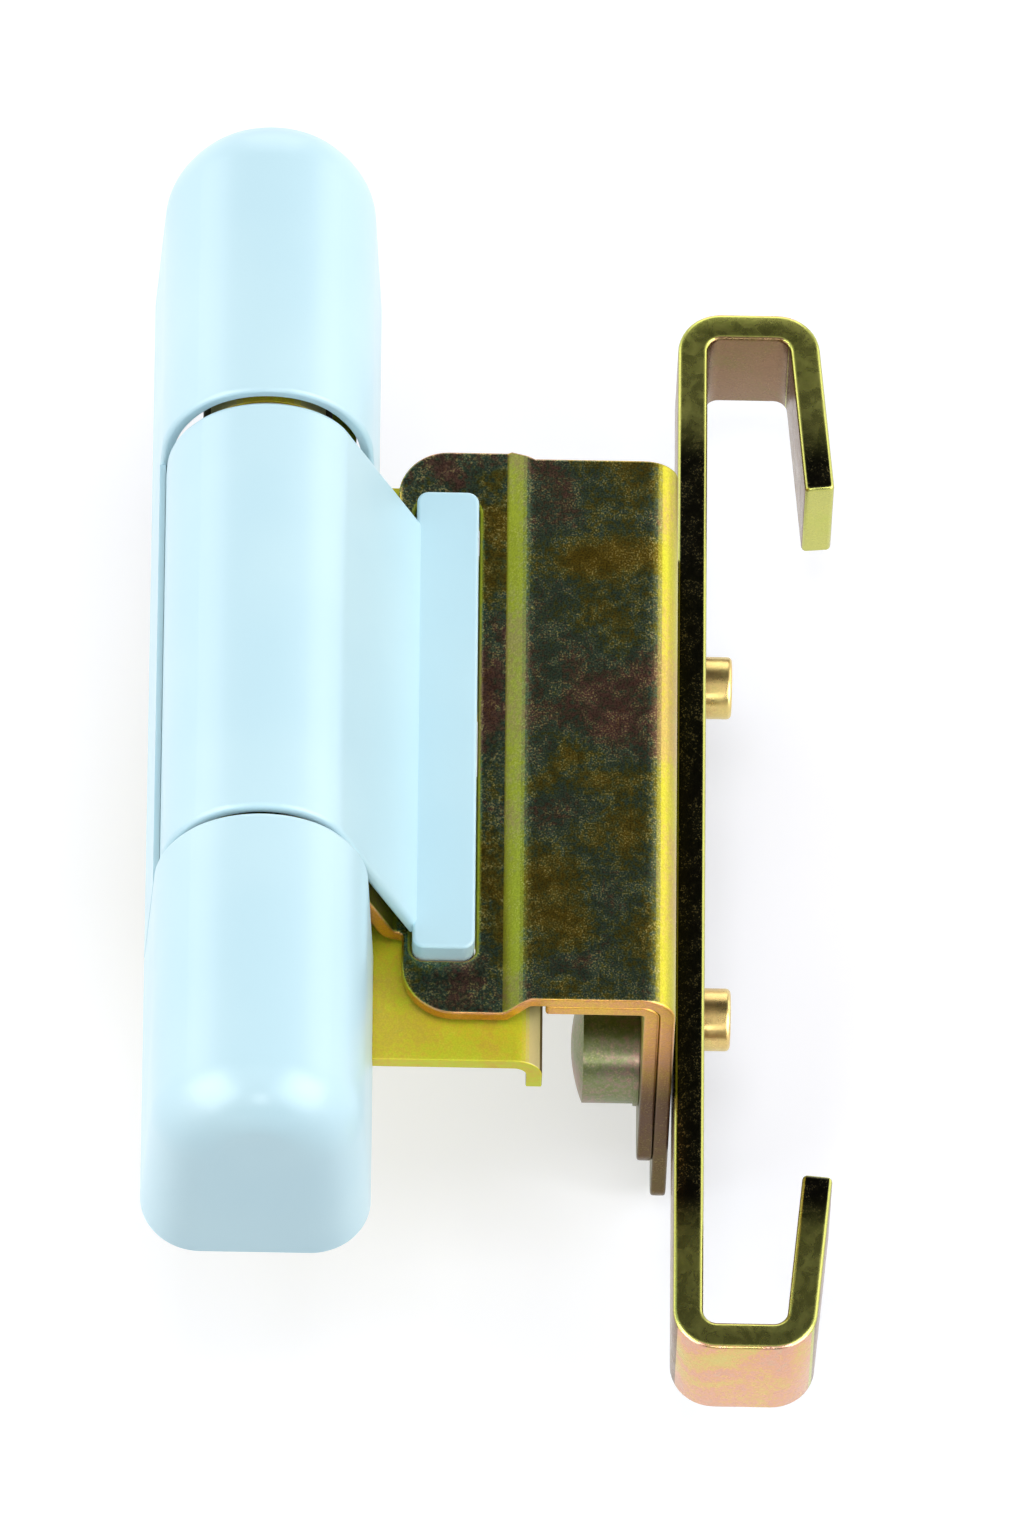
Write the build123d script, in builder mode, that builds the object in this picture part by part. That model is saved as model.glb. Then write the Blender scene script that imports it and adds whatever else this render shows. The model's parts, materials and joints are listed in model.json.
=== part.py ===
"""Corner hinge for a plastic-framed door: three covered knuckles, pressed leaves and a hook bracket.

The frame leaf and the two end caps stay on the door frame. The sash leaf, the middle cover and the
hook bracket swing with the door about the pin. All sizes are in millimetres. The origin lies on the
frame's face, straight behind the middle of the pin. +X runs towards the door, +Y into the frame and
+Z up the pin.
"""

from build123d import *
import math
import os

os.makedirs("parts", exist_ok=True)

# Driving sizes of the sheet metal
FRAME_SHEET = 1.6
SASH_SHEET = 1.55
STRIP = 3.0

# The pin stands this far in front of the frame's face
PIN_Y = -19.1
PIN_R = 3.5
PIN_TOP = 47.0
PIN_BOTTOM = -43.0
PIN_CHAMFER = 0.8

# Fits between the turning pieces
RUNNING = 0.05
FACE_GAP = 0.05

# Knuckle eyes, their bushes and the washers between them
EYE_R = 4.8
BUSH_FLANGE_R = 6.2
BUSH_FLANGE = 0.8
WASHER = 0.6
WASHER_R = 6.4
SASH_EYE_HALF = 22.9
SASH_BUSH = 16.0
FRAME_BUSH = 13.0
FRAME_EYE_END = 50.0

# Section of the covered column: a nose arc, a flatter cheek and a flank that flares to the back
NOSE_R = 9.2
NOSE_Y = -1.5
NOSE_HALF_ANGLE = 50.5
CHEEK_R = 15.1
FLARE = 2.8
COLUMN_END = 57.0
END_ROUND = 6.0
RIM_ROUND = 0.5
CAP_WALL = 1.2
CAP_END_WALL = 1.8
CAP_SEAM = 24.0

# Middle cover with its wing and the strip that sits in the sash leaf's slot
COVER_INSET = 0.6
COVER_WALL = 1.5
COVER_HALF = 23.1
COVER_LEFT_Y = 3.6
WING_ANGLE = 67.0
WING_END = 14.2
COVER_ROUND = 0.65
TONGUE_LEFT = 15.1
TONGUE_RIGHT = 21.3
TONGUE_FRONT = 13.0
TONGUE_BACK = 16.7
TONGUE_TOP = 26.6
TONGUE_BOTTOM = -25.6
TONGUE_ROUND = 1.2
TONGUE_EDGE = 0.38
SLOT_GAP = 0.1
SLOT_EDGE = 0.6

# Back cover between the caps, clear of the turning middle cover
SWING_R = 11.0
BACK_COVER_FRONT = 4.4
BACK_COVER_RIGHT = 8.0
BACK_COVER_FOOT = 1.3

# Sash leaf, seen from the front
LEAF_FRONT = 13.7
LEAF_TOP = 31.0
TAB_TOP = 32.5
TAB_BOTTOM = -31.8
TAB_LEFT = 13.3
TAB_CORNER = 5.0
TAB_FOOT_LEFT = 14.1
TAB_FOOT_CORNER = 5.3
NECK_ROUND = 1.5
JOG_LEFT = 24.6
JOG_RIGHT = 26.9
JOG_BEND = 1.2
FLANGE_X = 41.3
FLANGE_BACK = 56.3
FLANGE_CORNER = 3.5
FLANGE_BEND = 2.0
NECK_BEND = 1.0
EYE_OPEN = 60.0

# Inner angle, nested behind the sash leaf
ANGLE_LEFT = 28.4
ANGLE_BACK = 49.4
ANGLE_BEND = 0.5
ANGLE_CORNER = 4.0

# Frame leaf
PLATE_RIGHT = 28.2
PLATE_TOP = 29.5
PLATE_BOTTOM = -35.9
LIP_BACK = 22.7
LIP_BEND = 1.3
WEB_BEND = 0.8
PLATE_LEFT = -9.0
TAB_PLATE_RIGHT = 9.0
RELIEF = 1.2
FRAME_SCREW_X = 19.3
FRAME_SCREW_Z = 24.0
SCREW_HOLE_R = 2.6
SCREW_SINK_R = 3.8
SCREW_SINK_ANGLE = 90
SCREW_SLOT = 4.0

# Hook bracket
BRACKET_LEFT = 41.6
BRACKET_ROOT = 55.6
BRACKET_HALF = 59.5
BRACKET_FRONT = 32.7
BRACKET_DEPTH = 12.7
UPPER_ARM = 20.3
LOWER_ARM = 19.6
ARM_FLARE = 5.3
BRACKET_BEND = 1.4

# Studs and the eccentric bushes that turn on them
STUD_Y = 38.6
STUD_Z = 19.1
STUD_R = 2.5
STUD_HEAD_R = 3.15
STUD_HEAD = 2.7
STUD_EDGE = 0.5
STUD_REACH = 4.6
ECCENTRIC_R = 5.9
ECCENTRIC_OFFSET = 3.0
ECCENTRIC_LEFT = 31.4
ECCENTRIC_DOME = 1.15
COLLAR_R = 6.15
COLLAR = 0.5

# Height screw, its threaded bush and the pin's grub screw
HEIGHT_BUSH_TOP = -43.4
HEIGHT_SCREW_R = 3.0
HEIGHT_SCREW_TOP = -43.0
HEIGHT_SCREW_BOTTOM = -51.5
HEX_ACROSS = 3.0
HEX_DEPTH = 3.0
GRUB_R = 2.0
GRUB_Z = 43.5
GRUB_END = 7.4
GRUB_HEX = 2.0
GRUB_HEX_DEPTH = 1.8

# Levels of the stacked thrust faces, out from the sash knuckle
MIDDLE_FLANGE_FACE = SASH_EYE_HALF + BUSH_FLANGE
WASHER_FACE = MIDDLE_FLANGE_FACE + FACE_GAP
OUTER_FLANGE_FACE = WASHER_FACE + WASHER + FACE_GAP
FRAME_EYE_START = OUTER_FLANGE_FACE + BUSH_FLANGE

BACK = -PIN_Y
PLATE_FRONT = BACK - FRAME_SHEET
PIN = Plane((0, PIN_Y, 0))
ABOVE = 1
BELOW = -1


def across(y):
    """Upright plane facing the front, at depth y behind the pin, with Z as its second axis."""
    return Plane(origin=(0, PIN_Y + y, 0), x_dir=(1, 0, 0), z_dir=(0, -1, 0))


def side_on(x):
    """Upright plane facing the door side, with depth behind the pin as its first axis."""
    return Plane(origin=(x, PIN_Y, 0), x_dir=(0, 1, 0), z_dir=(1, 0, 0))


def finish(piece, name):
    """Label a finished piece and write it to its own file."""
    piece.part.label = name
    export_step(piece.part, f"parts/{name}.step")


def flank_lines(nose_r):
    """Right-hand cheek and flank of the column section, from the nose arc to the back plane."""
    half = math.radians(NOSE_HALF_ANGLE)
    start = Vector(nose_r * math.sin(half), NOSE_Y - nose_r * math.cos(half))
    cheek = JernArc(
        start=start,
        tangent=(math.cos(half), math.sin(half)),
        radius=CHEEK_R - NOSE_R + nose_r,
        arc_size=90 - FLARE - NOSE_HALF_ANGLE,
    )
    run = BACK - (cheek @ 1).Y
    flank = Line(cheek @ 1, (cheek @ 1) + (run * math.tan(math.radians(FLARE)), run))
    return cheek, flank


def column_section(plane, inset):
    """Closed D-shaped section of the column, drawn in from the caps' outside by the inset."""
    with BuildSketch(plane) as section:
        with BuildLine():
            nose_r = NOSE_R - inset
            CenterArc((0, NOSE_Y), nose_r, 270 - NOSE_HALF_ANGLE, 2 * NOSE_HALF_ANGLE)
            cheek, flank = flank_lines(nose_r)
            mirror(about=Plane.YZ)
            Line((flank @ 1), ((flank @ 1).X * -1, (flank @ 1).Y))
        make_face()
    return section.sketch


def eye_ring(plane, outer_r, inner_r):
    """Ring about the pin."""
    with BuildSketch(plane) as ring:
        Circle(outer_r)
        Circle(inner_r, mode=Mode.SUBTRACT)
    return ring.sketch


def rolled_eye(plane, sheet, start_angle, sweep):
    """Rolled knuckle about the pin, open over the sweep that starts at the given angle."""
    outer = EYE_R + sheet
    end_angle = start_angle + sweep
    with BuildSketch(plane) as eye:
        Circle(outer)
        Circle(EYE_R, mode=Mode.SUBTRACT)
        with BuildLine():
            Polyline(
                (0, 0),
                (2 * outer * math.cos(math.radians(start_angle)),
                 2 * outer * math.sin(math.radians(start_angle))),
                (2 * outer * math.cos(math.radians(end_angle)),
                 2 * outer * math.sin(math.radians(end_angle))),
                close=True,
            )
        make_face(mode=Mode.SUBTRACT)
    return eye.sketch


# Caps over the frame knuckles
for side, name in ((ABOVE, "upper_cap"), (BELOW, "lower_cap")):
    with BuildPart() as cavity:
        extrude(column_section(PIN.offset(side * CAP_SEAM), CAP_WALL), amount=side * (
            COLUMN_END - CAP_END_WALL - CAP_SEAM))
        inner_end = cavity.faces().sort_by(Axis.Z)[-1 if side == ABOVE else 0]
        fillet(inner_end.edges().sort_by(Axis.Y)[:-1], END_ROUND - CAP_END_WALL)

    with BuildPart() as cap:
        extrude(column_section(PIN.offset(side * CAP_SEAM), 0), amount=side * (COLUMN_END - CAP_SEAM))
        outer_end = cap.faces().sort_by(Axis.Z)[-1 if side == ABOVE else 0]
        fillet(outer_end.edges().sort_by(Axis.Y)[:-1], END_ROUND)
        rim = cap.faces().sort_by(Axis.Z)[0 if side == ABOVE else -1]
        fillet(rim.edges().sort_by(Axis.Y)[:-1], RIM_ROUND)
        add(cavity.part, mode=Mode.SUBTRACT)
        # The frame leaf leaves through a notch in the wall on the door side
        with BuildSketch(across(BACK)):
            with Locations((NOSE_R, (PLATE_TOP + PLATE_BOTTOM) / 2)):
                Rectangle(2 * NOSE_R, PLATE_TOP - PLATE_BOTTOM + 2 * SLOT_GAP)
        extrude(amount=FRAME_SHEET + SLOT_GAP, mode=Mode.SUBTRACT)
    finish(cap, name)

# Frame leaf: a plate with a lip, and a rolled knuckle on a web at each end
with BuildPart() as frame_leaf:
    with BuildSketch(PIN.offset(PLATE_BOTTOM)):
        with BuildLine():
            FilletPolyline(
                (PLATE_RIGHT, LIP_BACK),
                (PLATE_RIGHT, PLATE_FRONT),
                (-EYE_R, PLATE_FRONT),
                radius=LIP_BEND + FRAME_SHEET,
            )
            offset(amount=FRAME_SHEET, side=Side.RIGHT)
        make_face()
    extrude(amount=PLATE_TOP - PLATE_BOTTOM)
    # The middle of the plate reaches further left than the knuckle tabs
    with BuildSketch(across(PLATE_FRONT)):
        with Locations(((PLATE_LEFT - EYE_R) / 2, 0)):
            Rectangle(-PLATE_LEFT - EYE_R, 2 * (FRAME_EYE_START - RELIEF))
    extrude(amount=-FRAME_SHEET)
    for side in (ABOVE, BELOW):
        eye_length = FRAME_EYE_END - FRAME_EYE_START
        with BuildSketch(across(PLATE_FRONT)):
            middle = side * (FRAME_EYE_START + eye_length / 2)
            with Locations(((TAB_PLATE_RIGHT - EYE_R) / 2, middle)):
                Rectangle(TAB_PLATE_RIGHT + EYE_R, eye_length)
        extrude(amount=-FRAME_SHEET)
        with BuildSketch(PIN.offset(side * FRAME_EYE_START)):
            add(rolled_eye(Plane.XY, FRAME_SHEET, 180, -EYE_OPEN))
            with BuildLine():
                FilletPolyline(
                    (0, PLATE_FRONT),
                    (-EYE_R, PLATE_FRONT),
                    (-EYE_R, 0),
                    radius=WEB_BEND,
                )
                offset(amount=FRAME_SHEET, side=Side.RIGHT)
            make_face()
        extrude(amount=side * eye_length)
    with BuildSketch(across(PLATE_FRONT)):
        with Locations((FRAME_SCREW_X, 0)):
            SlotCenterToCenter(SCREW_SLOT, 2 * SCREW_HOLE_R, rotation=90)
    extrude(amount=-FRAME_SHEET, mode=Mode.SUBTRACT)
    with Locations(across(PLATE_FRONT)):
        with Locations((FRAME_SCREW_X, FRAME_SCREW_Z), (FRAME_SCREW_X, -FRAME_SCREW_Z)):
            CounterSinkHole(SCREW_HOLE_R, SCREW_SINK_R, counter_sink_angle=SCREW_SINK_ANGLE)
    # Threaded hole for the grub screw through the front of the upper knuckle
    with BuildSketch(across(0)):
        with Locations((0, GRUB_Z)):
            Circle(GRUB_R)
    extrude(amount=GRUB_END, mode=Mode.SUBTRACT)
finish(frame_leaf, "frame_leaf")

# Back cover in the pocket behind the middle knuckle: a thin left wall and a foot on the plate
with BuildPart() as back_cover:
    with BuildSketch(PIN.offset(-CAP_SEAM)):
        add(column_section(Plane.XY, 0))
        add(column_section(Plane.XY, BACK_COVER_FOOT), mode=Mode.SUBTRACT)
        with Locations((0, PLATE_FRONT - BACK_COVER_FOOT / 2)):
            Rectangle(2 * SWING_R, BACK_COVER_FOOT)
        Circle(SWING_R, mode=Mode.SUBTRACT)
        with Locations((0, BACK_COVER_FRONT - BACK)):
            Rectangle(4 * NOSE_R, 2 * BACK, mode=Mode.SUBTRACT)
        with Locations((BACK_COVER_RIGHT + NOSE_R, BACK)):
            Rectangle(2 * NOSE_R, 4 * BACK, mode=Mode.SUBTRACT)
        # The plate's left end fills the corner behind the foot
        with Locations((0, BACK - FRAME_SHEET / 2)):
            Rectangle(-2 * (PLATE_LEFT - SLOT_GAP), FRAME_SHEET, mode=Mode.SUBTRACT)
    extrude(amount=2 * CAP_SEAM)
finish(back_cover, "back_cover")

# Sash leaf: rolled middle knuckle, neck, slotted tab, joggle, face and rear flange
with BuildPart() as sash_leaf:
    with BuildSketch(PIN.offset(TAB_BOTTOM)):
        add(rolled_eye(Plane.XY, SASH_SHEET, WING_ANGLE - 90 + EYE_OPEN, -EYE_OPEN))
        with BuildLine():
            tangent = math.radians(WING_ANGLE - 90)
            foot = Vector(EYE_R * math.cos(tangent), EYE_R * math.sin(tangent))
            tab_back = LEAF_FRONT + 2 * SASH_SHEET
            corner_x = foot.X + (tab_back - foot.Y) / math.tan(math.radians(WING_ANGLE))
            FilletPolyline(
                foot,
                (corner_x, tab_back),
                (JOG_LEFT, tab_back),
                (JOG_RIGHT, tab_back - SASH_SHEET),
                (FLANGE_X - SASH_SHEET, tab_back - SASH_SHEET),
                (FLANGE_X - SASH_SHEET, FLANGE_BACK),
                radius=[NECK_BEND + SASH_SHEET, JOG_BEND, JOG_BEND, FLANGE_BEND],
            )
            offset(amount=SASH_SHEET, side=Side.RIGHT)
        make_face()
    extrude(amount=TAB_TOP - TAB_BOTTOM)
    # Front outline: neck, tab with rounded shoulders and the slightly lower face
    with BuildSketch(across(-NOSE_R)):
        with BuildLine():
            Polyline(
                (-NOSE_R, SASH_EYE_HALF),
                (TAB_LEFT, SASH_EYE_HALF),
                (TAB_LEFT, TAB_TOP),
                (JOG_LEFT, TAB_TOP),
                (JOG_RIGHT, LEAF_TOP),
                (2 * FLANGE_X, LEAF_TOP),
                (2 * FLANGE_X, -LEAF_TOP),
                (JOG_RIGHT, -LEAF_TOP),
                (JOG_LEFT, TAB_BOTTOM),
                (TAB_FOOT_LEFT, TAB_BOTTOM),
                (TAB_FOOT_LEFT, -SASH_EYE_HALF),
                (-NOSE_R, -SASH_EYE_HALF),
                close=True,
            )
        make_face()
        tab_side = vertices().filter_by_position(Axis.X, TAB_LEFT, TAB_FOOT_LEFT).sort_by(Axis.Y)
        fillet(tab_side[0], TAB_FOOT_CORNER)
        fillet(tab_side[-1], TAB_CORNER)
        fillet(tab_side[1:-1], NECK_ROUND)
    extrude(amount=-2 * FLANGE_BACK, mode=Mode.INTERSECT)
    # The flange's rear corners
    rear = sash_leaf.edges().filter_by(Axis.X).group_by(Axis.Y)[-1]
    fillet(rear, FLANGE_CORNER)
    with BuildSketch(across(LEAF_FRONT)):
        slot_width = TONGUE_RIGHT - TONGUE_LEFT + 2 * SLOT_GAP
        slot_height = TONGUE_TOP - TONGUE_BOTTOM + 2 * SLOT_GAP
        with Locations(((TONGUE_LEFT + TONGUE_RIGHT) / 2, (TONGUE_TOP + TONGUE_BOTTOM) / 2)):
            RectangleRounded(slot_width, slot_height, TONGUE_ROUND + SLOT_GAP)
    extrude(amount=-3 * SASH_SHEET, mode=Mode.SUBTRACT)
    # The punch rolls the slot's front edge over
    slot_rim = sash_leaf.edges().filter_by_position(
        Axis.Y, PIN_Y + LEAF_FRONT + SASH_SHEET - SLOT_GAP, PIN_Y + LEAF_FRONT + SASH_SHEET + SLOT_GAP)
    slot_rim = slot_rim.filter_by_position(
        Axis.X, TONGUE_LEFT - 2 * SLOT_GAP, TONGUE_RIGHT + 2 * SLOT_GAP)
    slot_rim = slot_rim.filter_by_position(
        Axis.Z, TONGUE_BOTTOM - 2 * SLOT_GAP, TONGUE_TOP + 2 * SLOT_GAP)
    fillet(slot_rim, SLOT_EDGE)
    with BuildSketch(side_on(FLANGE_X)):
        with Locations((STUD_Y, STUD_Z), (STUD_Y, -STUD_Z)):
            Circle(STUD_R)
    extrude(amount=-SASH_SHEET, mode=Mode.SUBTRACT)
finish(sash_leaf, "sash_leaf")

# Inner angle, riveted flat behind the sash leaf's face and flange
with BuildPart() as inner_angle:
    with BuildSketch(PIN.offset(-LEAF_TOP)):
        with BuildLine():
            angle_x = FLANGE_X - 2 * SASH_SHEET
            FilletPolyline(
                (ANGLE_LEFT, LEAF_FRONT + 2 * SASH_SHEET),
                (angle_x, LEAF_FRONT + 2 * SASH_SHEET),
                (angle_x, ANGLE_BACK),
                radius=ANGLE_BEND,
            )
            offset(amount=SASH_SHEET, side=Side.RIGHT)
        make_face()
    extrude(amount=2 * LEAF_TOP)
    fillet(inner_angle.edges().filter_by(Axis.X).group_by(Axis.Y)[-1], ANGLE_CORNER)
    with BuildSketch(side_on(FLANGE_X - SASH_SHEET)):
        with Locations((STUD_Y, STUD_Z), (STUD_Y, -STUD_Z)):
            Circle(STUD_R)
    extrude(amount=-SASH_SHEET, mode=Mode.SUBTRACT)
finish(inner_angle, "inner_angle")

# Tongue of the middle cover, which sits in the sash leaf's slot
with BuildPart() as tongue:
    with BuildSketch(across(TONGUE_FRONT)):
        with Locations(((TONGUE_LEFT + TONGUE_RIGHT) / 2, (TONGUE_TOP + TONGUE_BOTTOM) / 2)):
            RectangleRounded(TONGUE_RIGHT - TONGUE_LEFT, TONGUE_TOP - TONGUE_BOTTOM, TONGUE_ROUND)
    extrude(amount=TONGUE_FRONT - TONGUE_BACK)
    fillet(tongue.faces().sort_by(Axis.Y)[0].edges(), TONGUE_EDGE)

# Middle cover: rounded shell over the sash knuckle with a sloping wing that ends in the tongue
with BuildPart() as middle_cover:
    with BuildSketch(PIN.offset(-COVER_HALF)):
        with BuildLine():
            nose_r = NOSE_R - COVER_INSET
            nose = CenterArc((0, NOSE_Y), nose_r, 270 - NOSE_HALF_ANGLE, NOSE_HALF_ANGLE + WING_ANGLE)
            cheek = JernArc(
                start=nose @ 0,
                tangent=(nose % 0) * -1,
                radius=CHEEK_R - COVER_INSET,
                arc_size=FLARE + NOSE_HALF_ANGLE - 90,
            )
            edge_run = COVER_LEFT_Y - (cheek @ 1).Y
            Line(cheek @ 1, (cheek @ 1) + (-edge_run * math.tan(math.radians(FLARE)), edge_run))
            wing_run = WING_END - (nose @ 1).Y
            slope = math.tan(math.radians(WING_ANGLE))
            Line(nose @ 1, (nose @ 1) + (wing_run / slope, wing_run))
            offset(amount=COVER_WALL, side=Side.LEFT)
        make_face()
    extrude(amount=2 * COVER_HALF)
    for end in (0, -1):
        rim = middle_cover.faces().group_by(Axis.Z)[end].edges()
        fillet(rim.filter_by(lambda edge: edge.length > COVER_WALL + SLOT_GAP), COVER_ROUND)
    add(tongue.part)
finish(middle_cover, "middle_cover")

# Hook bracket: one strip bent into a C with two inward arms
with BuildPart() as hook_bracket:
    with BuildSketch(across(BRACKET_FRONT)):
        with BuildLine():
            flare = math.tan(math.radians(ARM_FLARE))
            FilletPolyline(
                (BRACKET_ROOT + UPPER_ARM * flare, BRACKET_HALF - UPPER_ARM),
                (BRACKET_ROOT, BRACKET_HALF),
                (BRACKET_LEFT, BRACKET_HALF),
                (BRACKET_LEFT, -BRACKET_HALF),
                (BRACKET_ROOT, -BRACKET_HALF),
                (BRACKET_ROOT + LOWER_ARM * flare, LOWER_ARM - BRACKET_HALF),
                radius=BRACKET_BEND + STRIP,
            )
            offset(amount=STRIP, side=Side.LEFT)
        make_face()
    extrude(amount=-BRACKET_DEPTH)
    with BuildSketch(side_on(BRACKET_LEFT)):
        with Locations((STUD_Y, STUD_Z), (STUD_Y, -STUD_Z)):
            Circle(STUD_R)
    extrude(amount=STRIP, mode=Mode.SUBTRACT)
finish(hook_bracket, "hook_bracket")

# Studs through the bracket and flange, each carrying an eccentric bush on its inner end
for side, place in ((ABOVE, "upper"), (BELOW, "lower")):
    stud_axis = Plane(origin=(0, PIN_Y + STUD_Y, side * STUD_Z), x_dir=(1, 0, 0), z_dir=(0, 0, 1))
    bracket_right = BRACKET_LEFT + STRIP
    head_end = bracket_right + STUD_HEAD
    bush_right = FLANGE_X - 2 * SASH_SHEET - FACE_GAP
    with BuildPart() as stud:
        with BuildSketch(stud_axis):
            with BuildLine():
                Polyline(
                    (bush_right - STUD_REACH, 0),
                    (bush_right - STUD_REACH, STUD_R),
                    (bracket_right, STUD_R),
                    (bracket_right, STUD_HEAD_R),
                    (head_end, STUD_HEAD_R),
                    (head_end, 0),
                    close=True,
                )
            make_face()
            fillet(vertices().group_by(Axis.X)[-1].sort_by(Axis.Y)[-1], STUD_EDGE)
        revolve(axis=Axis((0, PIN_Y + STUD_Y, side * STUD_Z), (1, 0, 0)))
    finish(stud, f"{place}_stud")

    bush_z = side * (STUD_Z + ECCENTRIC_OFFSET)
    bush_axis = Plane(origin=(0, PIN_Y + STUD_Y, bush_z), x_dir=(1, 0, 0), z_dir=(0, 0, 1))
    with BuildPart() as eccentric:
        with BuildSketch(bush_axis):
            with BuildLine():
                shoulder = (ECCENTRIC_LEFT + ECCENTRIC_DOME, ECCENTRIC_R)
                dome_r = (ECCENTRIC_R ** 2 + ECCENTRIC_DOME ** 2) / (2 * ECCENTRIC_DOME)
                dome_angle = math.degrees(math.asin(ECCENTRIC_R / dome_r))
                CenterArc((ECCENTRIC_LEFT + dome_r, 0), dome_r, 180 - dome_angle, dome_angle)
                Polyline(
                    shoulder,
                    (bush_right - COLLAR, ECCENTRIC_R),
                    (bush_right - COLLAR, COLLAR_R),
                    (bush_right, COLLAR_R),
                    (bush_right, 0),
                    (ECCENTRIC_LEFT, 0),
                )
            make_face()
        revolve(axis=Axis((0, PIN_Y + STUD_Y, bush_z), (1, 0, 0)))
        with BuildSketch(side_on(bush_right)):
            with Locations((STUD_Y, side * STUD_Z)):
                Circle(STUD_R + RUNNING)
        extrude(amount=-STUD_REACH - FACE_GAP, mode=Mode.SUBTRACT)
    finish(eccentric, f"{place}_eccentric")

# Hinge pin
with BuildPart() as hinge_pin:
    with BuildSketch(PIN.offset(PIN_BOTTOM)):
        Circle(PIN_R)
    extrude(amount=PIN_TOP - PIN_BOTTOM)
    chamfer(hinge_pin.edges().filter_by(GeomType.CIRCLE), PIN_CHAMFER)
finish(hinge_pin, "hinge_pin")

# Flanged bushes: two in the sash knuckle, one in each frame knuckle, with a washer between flanges
for side, place in ((ABOVE, "upper"), (BELOW, "lower")):
    with BuildPart() as sash_bush:
        extrude(
            eye_ring(PIN.offset(side * (SASH_EYE_HALF - SASH_BUSH)), EYE_R, PIN_R + RUNNING),
            amount=side * SASH_BUSH,
        )
        extrude(
            eye_ring(PIN.offset(side * SASH_EYE_HALF), BUSH_FLANGE_R, PIN_R + RUNNING),
            amount=side * BUSH_FLANGE,
        )
    finish(sash_bush, f"{place}_sash_bush")

    with BuildPart() as washer:
        extrude(
            eye_ring(PIN.offset(side * WASHER_FACE), WASHER_R, PIN_R + RUNNING),
            amount=side * WASHER,
        )
    finish(washer, f"{place}_thrust_washer")

    with BuildPart() as frame_bush:
        extrude(
            eye_ring(PIN.offset(side * OUTER_FLANGE_FACE), BUSH_FLANGE_R, PIN_R + RUNNING),
            amount=side * BUSH_FLANGE,
        )
        extrude(
            eye_ring(PIN.offset(side * FRAME_EYE_START), EYE_R, PIN_R + RUNNING),
            amount=side * FRAME_BUSH,
        )
    finish(frame_bush, f"{place}_frame_bush")

# Threaded bush in the foot of the lower knuckle, with the height screw under the pin
with BuildPart() as height_bush:
    extrude(
        eye_ring(PIN.offset(-FRAME_EYE_END), EYE_R, HEIGHT_SCREW_R),
        amount=FRAME_EYE_END + HEIGHT_BUSH_TOP,
    )
finish(height_bush, "height_bush")

with BuildPart() as height_screw:
    with BuildSketch(PIN.offset(HEIGHT_SCREW_BOTTOM)):
        Circle(HEIGHT_SCREW_R)
    extrude(amount=HEIGHT_SCREW_TOP - HEIGHT_SCREW_BOTTOM)
    with BuildSketch(PIN.offset(HEIGHT_SCREW_BOTTOM)):
        RegularPolygon(HEX_ACROSS / 2, 6, major_radius=False)
    extrude(amount=HEX_DEPTH, mode=Mode.SUBTRACT)
finish(height_screw, "height_screw")

# Grub screw through the upper knuckle's wall, against the pin
with BuildPart() as pin_grub:
    grub_face = Plane(origin=(0, PIN_Y - GRUB_END, GRUB_Z), x_dir=(1, 0, 0), z_dir=(0, -1, 0))
    with BuildSketch(grub_face):
        Circle(GRUB_R)
    extrude(amount=PIN_R - GRUB_END)
    with BuildSketch(grub_face):
        RegularPolygon(GRUB_HEX / 2, 6, major_radius=False)
    extrude(amount=-GRUB_HEX_DEPTH, mode=Mode.SUBTRACT)
finish(pin_grub, "pin_grub")
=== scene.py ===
"""Looks of the corner hinge: pale blue covers, yellow-passivated sheet metal, light and camera."""

import json
import logging
import math
from dataclasses import dataclass
from enum import Enum

import bmesh
import bpy
from mathutils import Matrix, Vector

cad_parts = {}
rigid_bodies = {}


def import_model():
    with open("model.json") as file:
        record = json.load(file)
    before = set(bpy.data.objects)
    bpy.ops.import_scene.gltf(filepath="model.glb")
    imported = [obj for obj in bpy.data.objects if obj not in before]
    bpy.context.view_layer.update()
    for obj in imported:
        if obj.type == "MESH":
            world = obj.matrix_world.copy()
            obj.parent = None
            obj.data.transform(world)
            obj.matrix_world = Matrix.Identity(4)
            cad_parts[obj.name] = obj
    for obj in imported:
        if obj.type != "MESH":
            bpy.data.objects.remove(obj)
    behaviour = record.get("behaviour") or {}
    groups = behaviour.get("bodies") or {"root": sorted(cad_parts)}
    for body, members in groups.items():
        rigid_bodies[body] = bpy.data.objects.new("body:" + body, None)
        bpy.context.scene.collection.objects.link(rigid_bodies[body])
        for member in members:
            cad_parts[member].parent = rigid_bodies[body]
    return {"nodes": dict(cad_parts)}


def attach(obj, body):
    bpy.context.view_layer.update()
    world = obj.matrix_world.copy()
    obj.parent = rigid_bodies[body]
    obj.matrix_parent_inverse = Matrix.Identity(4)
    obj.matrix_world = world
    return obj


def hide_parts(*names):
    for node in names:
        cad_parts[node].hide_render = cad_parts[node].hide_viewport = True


for leftover in list(bpy.data.objects):
    bpy.data.objects.remove(leftover)
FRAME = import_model()
bpy.context.view_layer.update()

MM = 0.001
PIN_Y = -19.1 * MM
# Face attributes that choose a film, and the point attribute with a turned piece's radius
PANEL, LEVEL, SIDE = "panel", "level", "side"
RADIUS = "turned_radius"
# A face counts as flat from the first share of its normal on, and wholly after the second
FLAT_FROM, FLAT_WHOLE = 0.78, 0.98
LEVEL_FROM, SIDE_FROM, HOOK_FROM = 0.5, 0.9, 0.9
LOG = logging.getLogger("corner_hinge")

Colour = tuple[float, float, float]
Stops = tuple[tuple[float, Colour], ...]
Value = "float | tuple[float, ...] | Signal | bpy.types.NodeSocket"
Settings = dict[str, object]
Inputs = dict[str | int, Value]


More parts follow.
